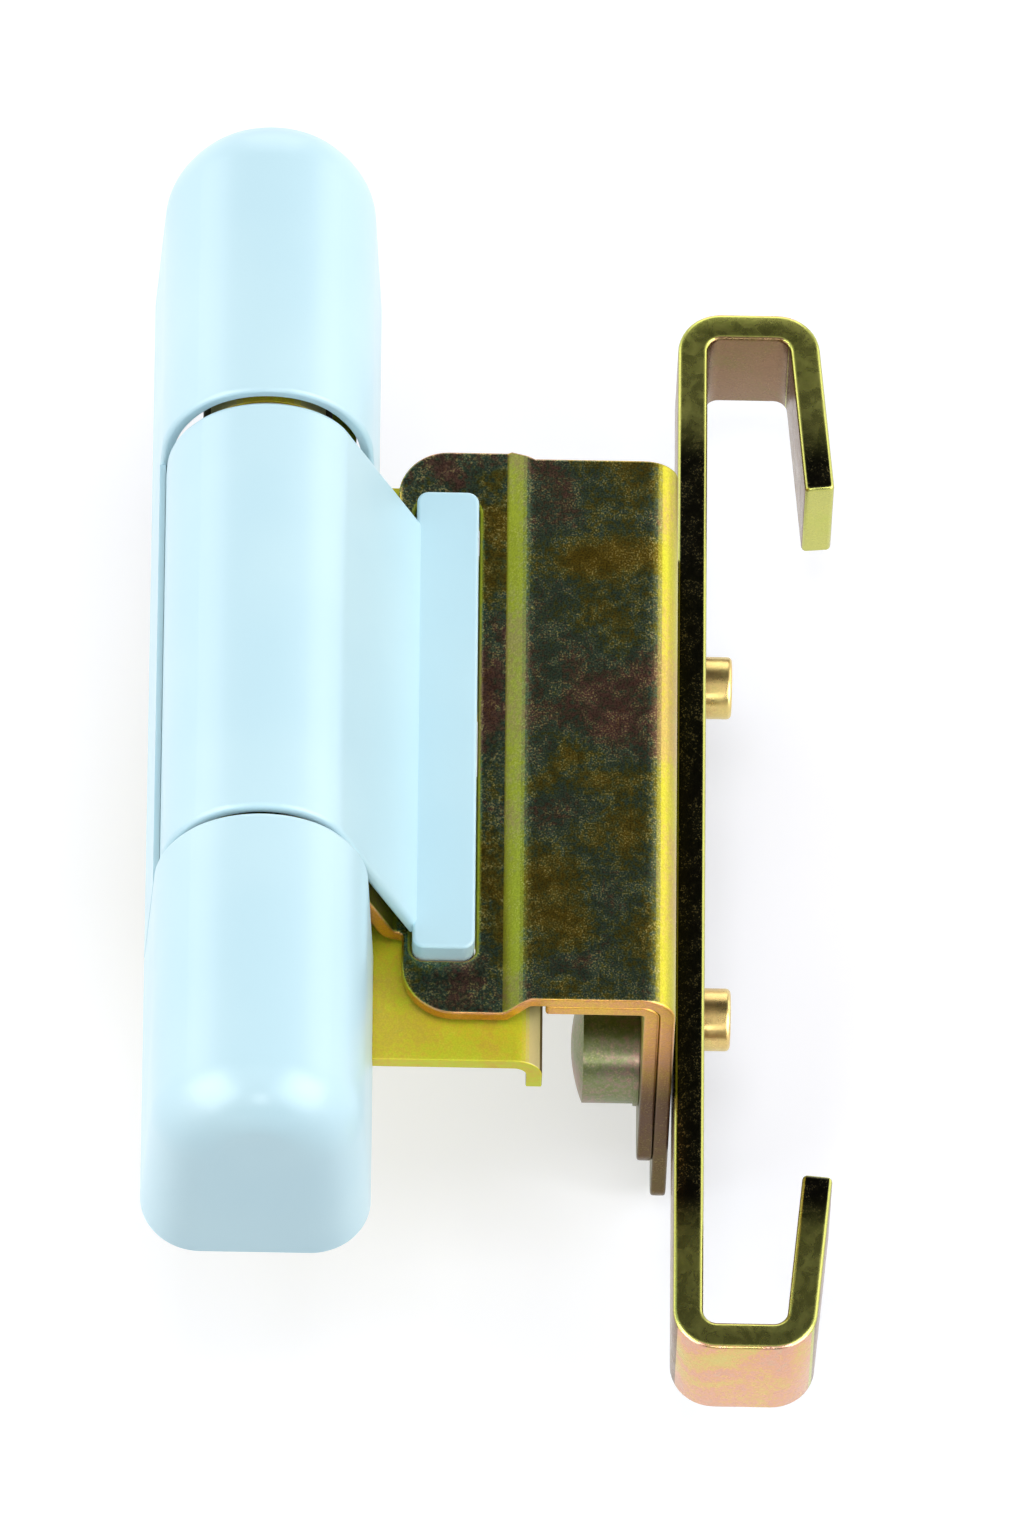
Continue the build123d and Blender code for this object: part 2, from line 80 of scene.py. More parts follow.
def srgb(red: int, green: int, blue: int) -> Colour:
    """Turn a colour as seen on a screen into the linear values that a shader takes.

    Args:
        red: Red from 0 to 255.
        green: Green from 0 to 255.
        blue: Blue from 0 to 255.

    Returns:
        The linear colour.
    """
    def linear(level: int) -> float:
        """Linear value of one channel."""
        share = level / 255
        return share / 12.92 if share <= 0.04045 else ((share + 0.055) / 1.055) ** 2.4

    return linear(red), linear(green), linear(blue)


class Signal:
    """A number that varies over a surface, usable in Python expressions."""

    def __init__(self, graph: "Graph", socket: bpy.types.NodeSocket) -> None:
        """Wrap an output socket of a graph."""
        self.graph = graph
        self.socket = socket

    def _math(self, operation: str, first: Value, second: Value = 0.0) -> "Signal":
        """Add one Math node and return its result."""
        node = self.graph.add("ShaderNodeMath", {"operation": operation}, {0: first, 1: second})
        return Signal(self.graph, node.outputs[0])

    def __add__(self, other: Value) -> "Signal":
        """Sum of both."""
        return self._math("ADD", self, other)

    __radd__ = __add__

    def __sub__(self, other: Value) -> "Signal":
        """This less the other."""
        return self._math("SUBTRACT", self, other)

    def __rsub__(self, other: Value) -> "Signal":
        """The other less this."""
        return self._math("SUBTRACT", other, self)

    def __mul__(self, other: Value) -> "Signal":
        """Product of both."""
        return self._math("MULTIPLY", self, other)

    __rmul__ = __mul__

    def between(self, low: float, high: float) -> "Signal":
        """Soft step from 0 at the low value to 1 at the high one.

        Args:
            low: Value that maps to 0.
            high: Value that maps to 1.

        Returns:
            The stepped signal.
        """
        node = self.graph.add(
            "ShaderNodeMapRange",
            {"interpolation_type": "SMOOTHSTEP"},
            {"Value": self, "From Min": low, "From Max": high},
        )
        return Signal(self.graph, node.outputs["Result"])


class Graph:
    """A node tree being filled in."""

    def __init__(self, tree: bpy.types.NodeTree) -> None:
        """Empty the tree and hold on to it."""
        self.tree = tree
        tree.nodes.clear()

    def add(
        self,
        kind: str,
        settings: Settings | None = None,
        values: Inputs | None = None,
    ) -> bpy.types.Node:
        """Add one node, with its settings first and then its sockets.

        Args:
            kind: The node's type.
            settings: Properties of the node itself; "stops" fills a colour ramp.
            values: Constants or links for its inputs, by name, identifier or number.

        Returns:
            The new node.
        """
        node = self.tree.nodes.new(kind)
        for key, setting in (settings or {}).items():
            if key == "stops":
                self._fill_ramp(node, setting)
            else:
                setattr(node, key, setting)
        for key, value in (values or {}).items():
            self._feed(self._input(node, key), value)
        return node

    def _input(self, node: bpy.types.Node, key: str | int) -> bpy.types.NodeSocket:
        """Find an input of a node.

        Args:
            node: The node.
            key: The input's number, identifier or name.

        Returns:
            The input's socket.
        """
        if isinstance(key, int):
            return node.inputs[key]
        exact = [socket for socket in node.inputs if socket.identifier == key]
        named = [socket for socket in node.inputs if socket.name == key and socket.enabled]
        return (exact or named)[0]

    def _feed(self, socket: bpy.types.NodeSocket, value: Value) -> None:
        """Link an input or give it a constant.

        Args:
            socket: The input.
            value: A constant, a signal or another node's output.
        """
        if isinstance(value, Signal):
            self.tree.links.new(value.socket, socket)
        elif isinstance(value, bpy.types.NodeSocket):
            self.tree.links.new(value, socket)
        elif isinstance(value, tuple) and socket.type == "RGBA" and len(value) == 3:
            socket.default_value = (*value, 1.0)
        else:
            socket.default_value = value

    def _fill_ramp(self, node: bpy.types.Node, stops: Stops) -> None:
        """Give a colour ramp its stops.

        Args:
            node: The ramp's node.
            stops: Position and colour of each stop.
        """
        ramp = node.color_ramp
        ramp.interpolation = "B_SPLINE"
        while len(ramp.elements) < len(stops):
            ramp.elements.new(1.0)
        for element, (position, colour) in zip(ramp.elements, stops):
            element.position = position
            element.color = (*colour, 1.0)

    def signal(self, kind: str, settings: Settings, values: Inputs, output: str) -> Signal:
        """Add a node and return one of its outputs as a signal."""
        return Signal(self, self.add(kind, settings, values).outputs[output])

    def blend(
        self, mask: Value, low: Value, high: Value, mode: str = "MIX"
    ) -> bpy.types.NodeSocket:
        """Mix two colours.

        Args:
            mask: Share of the second colour.
            low: First colour.
            high: Second colour.
            mode: Blend mode of the Mix node.

        Returns:
            The mixed colour's socket.
        """
        node = self.add(
            "ShaderNodeMix",
            {"data_type": "RGBA", "blend_type": mode},
            {"Factor_Float": mask, "A_Color": low, "B_Color": high},
        )
        return next(socket for socket in node.outputs if socket.identifier == "Result_Color")

    def grain(
        self, points: Value, size_mm: float, detail: float, distortion: float = 0.0
    ) -> Signal:
        """Cloudy noise on the piece's own coordinates.

        Args:
            points: Coordinates in metres.
            size_mm: Rough size of a cloud.
            detail: Number of finer layers.
            distortion: How much the clouds are stirred.

        Returns:
            The noise from 0 to 1.
        """
        return self.signal(
            "ShaderNodeTexNoise",
            {},
            {"Vector": points, "Scale": 1 / (size_mm * MM), "Detail": detail,
             "Distortion": distortion},
            "Fac",
        )


def new_material(name: str) -> tuple[bpy.types.Material, Graph, bpy.types.NodeSocket]:
    """Start a material.

    Args:
        name: The material's name.

    Returns:
        The material, its graph and the socket with the piece's own coordinates.
    """
    material = bpy.data.materials.new(name)
    material.use_nodes = True
    graph = Graph(material.node_tree)
    points = graph.add("ShaderNodeTexCoord").outputs["Object"]
    return material, graph, points


def close_material(graph: Graph, shader: bpy.types.Node) -> None:
    """Join a shader to the material's output."""
    output = graph.add("ShaderNodeOutputMaterial")
    graph.tree.links.new(shader.outputs[0], output.inputs["Surface"])


@dataclass(frozen=True)
class MouldedPlastic:
    """Satin injection-moulded plastic with a faint flow mottle and a fine skin."""

    name: str
    colour: Colour
    shade: Colour
    roughness: float
    gloss: float = 0.5
    mottle_mm: float = 18.0
    mottled: tuple[float, float] = (0.3, 0.75)
    skin_mm: float = 0.35
    skin_bump: float = 0.25
    skin_depth: float = 0.02 * MM
    scuff_mm: float = 4.0
    scuffed: tuple[float, float] = (0.45, 0.8)
    scuff_roughness: float = 0.05

    def make(self) -> bpy.types.Material:
        """Build the material.

        Returns:
            The material.
        """
        material, graph, points = new_material(self.name)
        clouds = graph.grain(points, self.mottle_mm, detail=2.0)
        skin = graph.grain(points, self.skin_mm, detail=3.0)
        scuff = graph.grain(points, self.scuff_mm, detail=5.0, distortion=0.6)
        bump = graph.add(
            "ShaderNodeBump",
            {},
            {"Strength": self.skin_bump, "Distance": self.skin_depth, "Height": skin},
        )
        shader = graph.add(
            "ShaderNodeBsdfPrincipled",
            {},
            {
                "Base Color": graph.blend(
                    clouds.between(*self.mottled), self.shade, self.colour),
                "Roughness": self.roughness + scuff.between(*self.scuffed) * self.scuff_roughness,
                "Specular IOR Level": self.gloss,
                "Normal": bump.outputs["Normal"],
            },
        )
        close_material(graph, shader)
        return material


@dataclass(frozen=True)
class YellowPassivate:
    """Iridescent passivated zinc: one film on the flats, a brighter one on bends and cut edges.

    Four films are mixed by the face attributes. Within each, clouds of three sizes choose the
    colour, as the film's thickness does on the real metal. Bends and cut edges that lie further
    back are darkened by painted shade.
    """

    name: str
    flat: Stops
    bend: Stops
    level: Stops
    side: Stops
    place: tuple[float, float, float] = (0.0, 0.0, 0.0)
    drift_mm: float = 14.0
    roughness: float = 0.3
    speckle: float = 0.5
    grain_mm: float = 0.18
    fleck: Colour = (0.84, 0.68, 0.24)
    flecks: float = 0.7
    metal: float = 1.0
    flat_reach_mm: float = 1000.0
    flat_fade_mm: float = 7.0
    # Painted shade: away from the flats, colour falls to the share deep between y = 0 and deep_mm
    deep: float = 1.0
    deep_mm: float = 16.0
    cloud_mm: float = 3.4
    stipple_mm: float = 0.45
    cluster_mm: float = 1.6
    bump: float = 0.35
    bump_depth: float = 0.02 * MM
    drift_weight: float = 1.25
    cloud_weight: float = 0.4
    stipple_weight: float = 0.6
    edge_speckle: float = 0.3
    edge_glint: float = 0.2
    pale_grains: tuple[float, float] = (0.36, 0.62)
    bright_grains: tuple[float, float] = (0.55, 0.66)
    bright_clusters: tuple[float, float] = (0.4, 0.6)
    rough_clusters: tuple[float, float] = (0.3, 0.8)
    cluster_roughness: float = 0.1

    def _film(self, graph: Graph, moved: bpy.types.NodeSocket) -> Signal:
        """Stir clouds of three sizes into a place on the films' colour tables.

        Args:
            graph: The material's graph.
            moved: Coordinates of the clouds.

        Returns:
            The place, from 0 to 1 with some overshoot.
        """
        drift = graph.grain(moved, self.drift_mm, detail=2.0, distortion=0.8)
        clouds = graph.grain(moved, self.cloud_mm, detail=4.0, distortion=0.6)
        stipple = graph.grain(moved, self.stipple_mm, detail=2.0)
        drifted = (drift - 0.5) * self.drift_weight + 0.5
        return drifted + (clouds - 0.5) * self.cloud_weight + (stipple - 0.5) * self.stipple_weight

    def _hue(self, graph: Graph, film: Signal, panel: Signal) -> bpy.types.NodeSocket:
        """Mix the four films' colours by the way the face looks.

        Args:
            graph: The material's graph.
            film: Place on the colour tables.
            panel: Share of the flats' film.

        Returns:
            The mixed colour's socket.
        """
        bend, level, side, flat = (
            graph.add("ShaderNodeValToRGB", {"stops": stops}, {"Fac": film}).outputs["Color"]
            for stops in (self.bend, self.level, self.side, self.flat))
        level_share, side_share = (
            graph.signal("ShaderNodeAttribute", {"attribute_name": name}, {}, "Fac")
            for name in (LEVEL, SIDE))
        hue = graph.blend(level_share, bend, level)
        hue = graph.blend(side_share, hue, side)
        return graph.blend(panel, hue, flat)

    def _panel(self, graph: Graph, z: Value) -> Signal:
        """Read the share of the flats' film, which fades out towards a long piece's ends.

        Args:
            graph: The material's graph.
            z: Height on the piece.

        Returns:
            The share from 0 to 1.
        """
        height = graph.signal("ShaderNodeMath", {"operation": "ABSOLUTE"}, {0: z}, "Value")
        reach = self.flat_reach_mm * MM
        panel = graph.signal("ShaderNodeAttribute", {"attribute_name": PANEL}, {}, "Fac")
        return panel * (1 - height.between(reach, reach + self.flat_fade_mm * MM))

    def make(self) -> bpy.types.Material:
        """Build the material.

        Returns:
            The material.
        """
        material, graph, points = new_material(self.name)
        moved = graph.add(
            "ShaderNodeMapping", {}, {"Vector": points, "Location": self.place}).outputs[0]
        parts = graph.add("ShaderNodeSeparateXYZ", {}, {"Vector": points}).outputs
        panel = self._panel(graph, parts["Z"])
        hue = self._hue(graph, self._film(graph, moved), panel)
        grains = graph.grain(moved, self.grain_mm, detail=2.0)
        clusters = graph.grain(moved, self.cluster_mm, detail=4.0, distortion=0.8)
        depth = (panel * (1 - self.edge_speckle) + self.edge_speckle) * self.speckle
        # Painted shade: bends and edges darken with depth from y = 0 to deep_mm, down to the share
        # deep, standing in for the shadowed table that they reflect
        behind = Signal(graph, parts["Y"]).between(0.0, self.deep_mm * MM)
        painted_depth_shade = behind * (1 - panel) * (1 - self.deep)
        dark = (1 - depth * (1 - grains.between(*self.pale_grains))) * (1 - painted_depth_shade)
        grey = graph.add("ShaderNodeCombineColor", {}, {0: dark, 1: dark, 2: dark}).outputs[0]
        toned = graph.blend(1.0, hue, grey, "MULTIPLY")
        bright = grains.between(*self.bright_grains) * clusters.between(*self.bright_clusters)
        glint = bright * (panel * (1 - self.edge_glint) + self.edge_glint)
        relief = graph.add(
            "ShaderNodeBump",
            {},
            {"Strength": self.bump, "Distance": self.bump_depth, "Height": grains},
        )
        shader = graph.add(
            "ShaderNodeBsdfPrincipled",
            {},
            {
                "Base Color": graph.blend(glint * self.flecks, toned, self.fleck),
                "Metallic": self.metal,
                "Roughness": (
                    self.roughness
                    + clusters.between(*self.rough_clusters) * self.cluster_roughness),
                "Normal": relief.outputs["Normal"],
            },
        )
        close_material(graph, shader)
        return material


@dataclass(frozen=True)
class TurnedMetal:
    """Plain turned or ground metal with fine circular tool marks."""

    name: str
    colour: Colour
    roughness: float
    mark_mm: float = 0.12
    mark_stretch: tuple[float, float, float] = (0.15, 0.15, 1.0)
    mark_bump: float = 0.2
    mark_depth: float = 0.01 * MM
    mark_roughness: float = 0.15
    stain_mm: float = 3.0
    stain_shade: float = 0.7
    stained: tuple[float, float] = (0.35, 0.7)

    def make(self) -> bpy.types.Material:
        """Build the material.

        Returns:
            The material.
        """
        material, graph, points = new_material(self.name)
        stretched = graph.add(
            "ShaderNodeMapping", {}, {"Vector": points, "Scale": self.mark_stretch}).outputs[0]
        marks = graph.grain(stretched, self.mark_mm, detail=2.0)
        stain = graph.grain(points, self.stain_mm, detail=4.0, distortion=0.5)
        darker = tuple(channel * self.stain_shade for channel in self.colour)
        bump = graph.add(
            "ShaderNodeBump",
            {},
            {"Strength": self.mark_bump, "Distance": self.mark_depth, "Height": marks},
        )
        shader = graph.add(
            "ShaderNodeBsdfPrincipled",
            {},
            {
                "Base Color": graph.blend(stain.between(*self.stained), darker, self.colour),
                "Metallic": 1.0,
                "Roughness": self.roughness + marks * self.mark_roughness,
                "Normal": bump.outputs["Normal"],
            },
        )
        close_material(graph, shader)
        return material


class Slot(Enum):
    """Finishes by the names that the record gives them."""

    COVER = "cover_plastic"
    SASH = "chromated_sash"
    FRAME = "chromated_frame"
    STRIP = "chromated_strip"
    STUDS = "chromated_studs"
    BUSH = "chromated_bush"
    STEEL = "pin_steel"
    BEARING = "bearing_plastic"
    BRASS = "screw_brass"


# Films as colour tables, from the thinnest to the thickest. The sash leaf's dark flats:
DARK_FILM = (
    (0.0, srgb(170, 140, 46)),
    (0.26, srgb(158, 132, 50)),
    (0.42, srgb(130, 134, 66)),
    (0.52, srgb(92, 126, 116)),
    (0.6, srgb(124, 120, 76)),
    (0.76, srgb(156, 104, 106)),
    (1.0, srgb(164, 128, 58)),
)
# The sash leaf's bends and the sides of its flange:
BEND_FILM = (
    (0.0, srgb(194, 194, 50)),
    (0.4, srgb(198, 186, 54)),
    (0.56, srgb(198, 180, 72)),
    (0.72, srgb(194, 156, 98)),
    (1.0, srgb(186, 194, 60)),
)
# The sash leaf's cut edges that look up or down:
LEVEL_FILM = (
    (0.0, srgb(214, 184, 72)),
    (0.35, srgb(216, 166, 74)),
    (0.55, srgb(212, 150, 96)),
    (0.75, srgb(206, 156, 120)),
    (1.0, srgb(202, 186, 84)),
)
# The frame leaf's flats and level edges, its bends, and its upright edges, whose dark brown
# is painted shade:
LIME_FILM = (
    (0.0, srgb(214, 216, 44)),
    (0.4, srgb(208, 212, 40)),
    (0.6, srgb(220, 204, 44)),
    (0.8, srgb(220, 180, 60)),
    (1.0, srgb(196, 212, 56)),
)
CREAM_FILM = (
    (0.0, srgb(196, 186, 120)),
    (0.6, srgb(206, 190, 140)),
    (1.0, srgb(186, 184, 110)),
)
BROWN_FILM = (
    (0.0, srgb(96, 70, 36)),
    (0.5, srgb(84, 66, 30)),
    (1.0, srgb(104, 84, 40)),
)
# The hook bracket's black shank, outer arms, hook faces, and upright sides with inner arms;
# the inner arms take this darker last film as painted shade inside the hooks:
BLACK_FILM = (
    (0.0, srgb(40, 42, 32)),
    (0.5, srgb(52, 52, 34)),
    (1.0, srgb(46, 38, 36)),
)
STRIP_FILM = (
    (0.0, srgb(206, 196, 124)),
    (0.35, srgb(212, 186, 112)),
    (0.5, srgb(220, 176, 120)),
    (0.64, srgb(220, 160, 142)),
    (0.82, srgb(208, 178, 140)),
    (1.0, srgb(184, 190, 150)),
)
ARM_FILM = (
    (0.0, srgb(186, 196, 90)),
    (0.5, srgb(206, 202, 112)),
    (1.0, srgb(178, 186, 98)),
)
PINK_FILM = (
    (0.0, srgb(120, 112, 60)),
    (0.5, srgb(142, 104, 84)),
    (1.0, srgb(128, 110, 70)),
)
# The eccentric bushes and the studs:
BUSH_FILM = (
    (0.0, srgb(110, 96, 50)),
    (0.4, srgb(118, 140, 92)),
    (0.6, srgb(160, 118, 120)),
    (1.0, srgb(140, 132, 76)),
)
GOLD_FILM = (
    (0.0, srgb(220, 204, 126)),
    (0.5, srgb(232, 208, 132)),
    (0.8, srgb(224, 184, 124)),
    (1.0, srgb(204, 204, 118)),
)


@dataclass
class Finishes:
    """Every finish, made once."""

    made: dict[Slot, bpy.types.Material]

    @classmethod
    def prepare(cls) -> "Finishes":
        """Build all the materials.

        Returns:
            The finishes by slot.
        """
        recipes = {
            Slot.COVER: MouldedPlastic(
                "pale_blue_cover", srgb(204, 236, 246), srgb(198, 232, 244), 0.3),
            Slot.SASH: YellowPassivate(
                # deep=0.16 paints shade on the sash's bends and edges that lie further back
                "passivated_sash", DARK_FILM, BEND_FILM, LEVEL_FILM, BEND_FILM, deep=0.16),
            Slot.FRAME: YellowPassivate(
                # BROWN_FILM paints shade on the frame leaf's upright edges
                "passivated_frame", LIME_FILM, CREAM_FILM, LIME_FILM, BROWN_FILM,
                place=(0.03, 0.0, 0.01), drift_mm=12.0, roughness=0.45, speckle=0.1, flecks=0.1,
                metal=0.25),
            Slot.STRIP: YellowPassivate(
                "passivated_strip", BLACK_FILM, ARM_FILM, STRIP_FILM, PINK_FILM,
                place=(0.0, 0.05, 0.02), drift_mm=9.0, roughness=0.24, speckle=0.2, flecks=0.3,
                flat_reach_mm=42.0),
            Slot.STUDS: YellowPassivate(
                "passivated_studs", GOLD_FILM, GOLD_FILM, GOLD_FILM, GOLD_FILM,
                place=(0.01, 0.02, 0.0), drift_mm=5.0, roughness=0.26, speckle=0.3),
            Slot.BUSH: YellowPassivate(
                "passivated_bush", BUSH_FILM, BUSH_FILM, BUSH_FILM, BUSH_FILM,
                place=(0.04, 0.0, 0.03), drift_mm=11.0, roughness=0.32, speckle=0.35),
            Slot.STEEL: TurnedMetal("ground_steel", srgb(196, 198, 202), 0.25),
            Slot.BEARING: MouldedPlastic(
                "bearing_polymer", srgb(226, 222, 210), srgb(214, 210, 198), 0.42),
            Slot.BRASS: TurnedMetal("screw_brass", srgb(214, 184, 110), 0.3),
        }
        return cls({slot: recipe.make() for slot, recipe in recipes.items()})

    def dress_node(self, node: str, slot: Slot) -> None:
        """Give a part of the frame its finish.

        Args:
            node: The part's name.
            slot: The finish.
        """
        holder = FRAME["nodes"][node].material_slots[0]
        holder.link = "OBJECT"
        holder.material = self.made[slot]
        LOG.info("%s keeps its shape, in %s", node, slot.value)


def place_piece(obj: bpy.types.Object, body: str, nodes: tuple[str, ...]) -> None:
    """Hang a finished piece on its body in place of the frame's own parts.

    Args:
        obj: The piece.
        body: The body it moves with.
        nodes: The frame's parts that it stands for.
    """
    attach(obj, body)
    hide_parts(*nodes)
    LOG.info("%s: %d faces on %s", obj.name, len(obj.data.polygons), body)


def settle(obj: bpy.types.Object, name: str, material: bpy.types.Material) -> bpy.types.Object:
    """Turn an object with live modifiers into a plain mesh piece.

    Args:
        obj: The object to evaluate; it is removed afterwards.
        name: Name of the piece.
        material: Its finish.

    Returns:
        The plain piece.
    """
    bpy.context.view_layer.update()
    graph = bpy.context.evaluated_depsgraph_get()
    mesh = bpy.data.meshes.new_from_object(obj.evaluated_get(graph))
    bpy.data.objects.remove(obj)
    mesh.name = name
    mesh.materials.clear()
    mesh.materials.append(material)
    piece = bpy.data.objects.new(name, mesh)
    bpy.context.scene.collection.objects.link(piece)
    return piece


def mark_faces(piece: bpy.types.Object, hollow: bool = False) -> None:
    """Store on each face which film it takes, from the way it looks.

    Args:
        piece: The piece to mark.
        hollow: Whether it is a hook: its inner faces count as upright sides, taking their darker
            film as painted shade, and its tips as bends.
    """
    faces = piece.data.polygons
    hooks = HOOK_FROM * max(vertex.co.z for vertex in piece.data.vertices)
    stored = {
        name: piece.data.attributes.new(name, "FLOAT", "FACE").data for name in (PANEL, LEVEL, SIDE)}
    for number, face in enumerate(faces):
        across, deep, high = (abs(part) for part in face.normal)
        share = min(max((deep - FLAT_FROM) / (FLAT_WHOLE - FLAT_FROM), 0.0), 1.0)
        level = high > LEVEL_FROM and (not hollow or abs(face.center.z) > hooks)
        # Painted shade: faces inside a hook take the darker film of the upright sides
        inner = hollow and level and face.normal.z * face.center.z < 0
        stored[PANEL][number].value = share * share * (3 - 2 * share)
        stored[LEVEL][number].value = float(level)
        stored[SIDE][number].value = float(across > SIDE_FROM or inner)


class Growth:
    """A geometry tree with named inputs, run once on a carrier mesh."""

    def __init__(self, name: str, knobs: dict[str, float | int]) -> None:
        """Start the tree and its inputs.

        Args:
            name: The tree's name.
            knobs: Inputs by name, with their values.
        """
        self.name = name
        self.knobs = knobs
        self.tree = bpy.data.node_groups.new(name, "GeometryNodeTree")
        self.graph = Graph(self.tree)
        sockets = self.tree.interface
        sockets.new_socket("Geometry", in_out="INPUT", socket_type="NodeSocketGeometry")
        for knob, value in knobs.items():
            kind = "NodeSocketInt" if isinstance(value, int) else "NodeSocketFloat"
            sockets.new_socket(knob, in_out="INPUT", socket_type=kind)
        sockets.new_socket("Geometry", in_out="OUTPUT", socket_type="NodeSocketGeometry")
        self.inputs = self.graph.add("NodeGroupInput").outputs

    def step(self, kind: str, settings: Settings, values: Inputs) -> bpy.types.NodeSocket:
        """Add one node and return its first output."""
        return self.graph.add(kind, settings, values).outputs[0]

    def close(self, geometry: bpy.types.NodeSocket, material: bpy.types.Material) -> None:
        """End the tree with real, smooth geometry in one finish.

        Args:
            geometry: What the tree has made.
            material: Its finish.
        """
        real = self.step("GeometryNodeRealizeInstances", {}, {"Geometry": geometry})
        smooth = self.step("GeometryNodeSetShadeSmooth", {}, {"Geometry": real})
        dressed = self.step(
            "GeometryNodeSetMaterial", {}, {"Geometry": smooth, "Material": material})
        self.graph.add("NodeGroupOutput", {}, {"Geometry": dressed})

    def run(
        self, points: list[Vector], name: str, radii: list[float] | None = None
    ) -> bpy.types.Object:
        """Hang the tree on a polyline carrier, with its inputs set.

        Args:
            points: Corners of the carrier's polyline.
            name: Name of the carrier.
            radii: Radius stored at each corner, if the tree reads one.

        Returns:
            The carrier with its live modifier.
        """
        mesh = bpy.data.meshes.new(name)
        mesh.from_pydata(points, [(i, i + 1) for i in range(len(points) - 1)], [])
        if radii:
            stored = mesh.attributes.new(RADIUS, "FLOAT", "POINT")
            stored.data.foreach_set("value", radii)
        carrier = bpy.data.objects.new(name, mesh)
        bpy.context.scene.collection.objects.link(carrier)
        modifier = carrier.modifiers.new(self.name, "NODES")
        modifier.node_group = self.tree
        for item in self.tree.interface.items_tree:
            if item.in_out == "INPUT" and item.name in self.knobs:
                modifier[item.identifier] = self.knobs[item.name]
        return carrier


@dataclass
class RoundedCopy:
    """A part of the frame with its sharp edges broken, as tumbling before plating leaves them."""

    node: str
    name: str
    edge: float
    shoulder: tuple[float, float, float] | None = None
    steps: int = 3
    crease_deg: float = 34.0
    reach: float = 20.0 * MM
    arc_steps: int = 12
    weld: float = 0.002 * MM
    flat_deg: float = 0.3

    def _cut_shoulder(self, obj: bpy.types.Object) -> bpy.types.Object:
        """Take the upper left corner off to a quarter circle.

        Args:
            obj: The copy to cut.

        Returns:
            The cutter, to be removed once the copy is settled.
        """
        left, top, radius = self.shoulder
        slack = radius / 4
        outline = [(left - slack, top + slack), (left - slack, top - radius)]
        for turn in range(self.arc_steps + 1):
            angle = math.pi - math.pi / 2 * turn / self.arc_steps
            outline.append(
                (left + radius + radius * math.cos(angle), top - radius + radius * math.sin(angle)))
        outline.append((left + radius, top + slack))
        shape = bmesh.new()
        front, back = PIN_Y, PIN_Y + 2 * self.reach
        rims = [[shape.verts.new((x, y, z)) for x, z in outline] for y in (front, back)]
        shape.faces.new(rims[0])
        shape.faces.new(list(reversed(rims[1])))
        for here in range(len(outline)):
            following = (here + 1) % len(outline)
            shape.faces.new((rims[0][following], rims[0][here], rims[1][here], rims[1][following]))
        bmesh.ops.recalc_face_normals(shape, faces=shape.faces)
        mesh = bpy.data.meshes.new("shoulder_cutter")
        shape.to_mesh(mesh)
        shape.free()
        cutter = bpy.data.objects.new("shoulder_cutter", mesh)
        bpy.context.scene.collection.objects.link(cutter)
        cut = obj.modifiers.new("shoulder", "BOOLEAN")
        cut.operation = "DIFFERENCE"
        cut.solver = "EXACT"
        cut.object = cutter
        return cutter

    def build(self, material: bpy.types.Material) -> bpy.types.Object:
        """Copy the part, merge its loose triangles and round its edges.

        Args:
            material: The piece's finish.

        Returns:
            The finished piece.
        """
        mesh = bpy.data.meshes.new(self.name)
        shape = bmesh.new()
        shape.from_mesh(FRAME["nodes"][self.node].data)
        bmesh.ops.remove_doubles(shape, verts=shape.verts, dist=self.weld)
        bmesh.ops.dissolve_limit(
            shape, angle_limit=math.radians(self.flat_deg), verts=shape.verts, edges=shape.edges)
        for face in shape.faces:
            face.smooth = True
        for edge in shape.edges:
            edge.smooth = True
        shape.to_mesh(mesh)
        shape.free()
        obj = bpy.data.objects.new(f"{self.name}_raw", mesh)
        bpy.context.scene.collection.objects.link(obj)
        cutter = self._cut_shoulder(obj) if self.shoulder else None
        bevel = obj.modifiers.new("edges", "BEVEL")
        bevel.width = self.edge
        bevel.segments = self.steps
        bevel.limit_method = "ANGLE"
        bevel.angle_limit = math.radians(self.crease_deg)
        bevel.use_clamp_overlap = False
        bevel.miter_outer = "MITER_ARC"
        weighted = obj.modifiers.new("flats", "WEIGHTED_NORMAL")
        weighted.mode = "FACE_AREA"
        weighted.keep_sharp = True
        piece = settle(obj, self.name, material)
        if cutter:
            bpy.data.objects.remove(cutter)
        mark_faces(piece)
        return piece


@dataclass
class Covers:
    """The four pale blue covers of the column."""

    nodes: tuple[str, ...] = ("upper_cap", "middle_cover", "back_cover", "lower_cap")

    def build(self, finishes: Finishes) -> None:
        """Dress the covers.

        Args:
            finishes: The made finishes.
        """
        for node in self.nodes:
            finishes.dress_node(node, Slot.COVER)


@dataclass
class Sheets:
    """The pressed leaves and the inner angle; the frame leaf's steps allow only a thin edge."""

    edge: float = 0.3 * MM
    thin_edge: float = 0.15 * MM
    shoulder: tuple[float, float, float] = (13.3 * MM, 32.5 * MM, 5.0 * MM)  # left, top, radius

    def build(self, finishes: Finishes) -> None:
        """Round and dress the pressed sheets.

        Args:
            finishes: The made finishes.
        """
        for node, body, slot, shoulder in (
            ("sash_leaf", "sash_side", Slot.SASH, self.shoulder),
            ("inner_angle", "sash_side", Slot.SASH, None),
            ("frame_leaf", "frame_side", Slot.FRAME, None),
        ):
            edge = self.thin_edge if node == "frame_leaf" else self.edge
            copy = RoundedCopy(node, f"{node}_pressed", edge, shoulder)
            piece = copy.build(finishes.made[slot])
            place_piece(piece, body, (node,))


